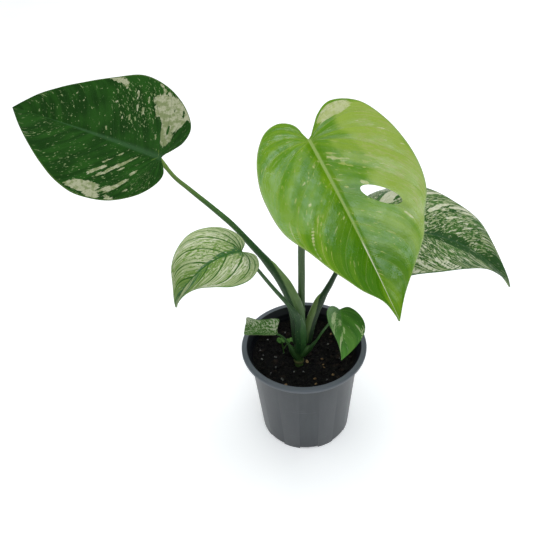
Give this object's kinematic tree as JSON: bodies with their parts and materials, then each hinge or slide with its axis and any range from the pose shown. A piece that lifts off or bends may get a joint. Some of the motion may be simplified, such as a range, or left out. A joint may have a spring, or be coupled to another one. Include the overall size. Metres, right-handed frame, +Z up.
{
  "type": "potted houseplant",
  "caption": "Young variegated climbing plant: heart-shaped leaves on long arching stalks over dark potting mix in a tapered nursery pot with a rolled rim.",
  "frame": {"origin": "centre of the pot's underside, on the surface it stands on", "axes": "+Z up along the pot's axis, +X to the right of the plant as seen from its front, -Y towards the front"},
  "size_m": [0.3939, 0.2132, 0.317],
  "materials": {
    "pot_plastic": "satin",
    "potting_mix": "rough and damp",
    "stem_green": "satin",
    "stalk_green": "satin",
    "left_leaf_green": "satin, dark green with cream patches",
    "centre_leaf_lime": "satin, lime with cream patches",
    "right_leaf_speckle": "satin, dark green speckled with cream",
    "mint_leaf_cream": "satin, cream green with green veins",
    "small_leaf_green": "satin, green with pale streaks",
    "cut_leaf_mottle": "satin, mottled cream and green",
    "clover_green": "matte"
  },
  "bodies": {
    "root": {"pot": "pot_plastic", "soil": "potting_mix", "stem": "stem_green", "centre_leaf_stalk": "stalk_green", "centre_leaf_blade": "centre_leaf_lime", "left_leaf_stalk": "stalk_green", "left_leaf_blade": "left_leaf_green", "right_leaf_stalk": "stalk_green", "right_leaf_blade": "right_leaf_speckle", "mint_leaf_stalk": "stalk_green", "mint_leaf_blade": "mint_leaf_cream", "small_leaf_stalk": "stalk_green", "small_leaf_blade": "small_leaf_green", "cut_leaf_stalk": "stalk_green", "cut_leaf_blade": "cut_leaf_mottle", "clover_seedling": "clover_green"}
  },
  "joints": []
}
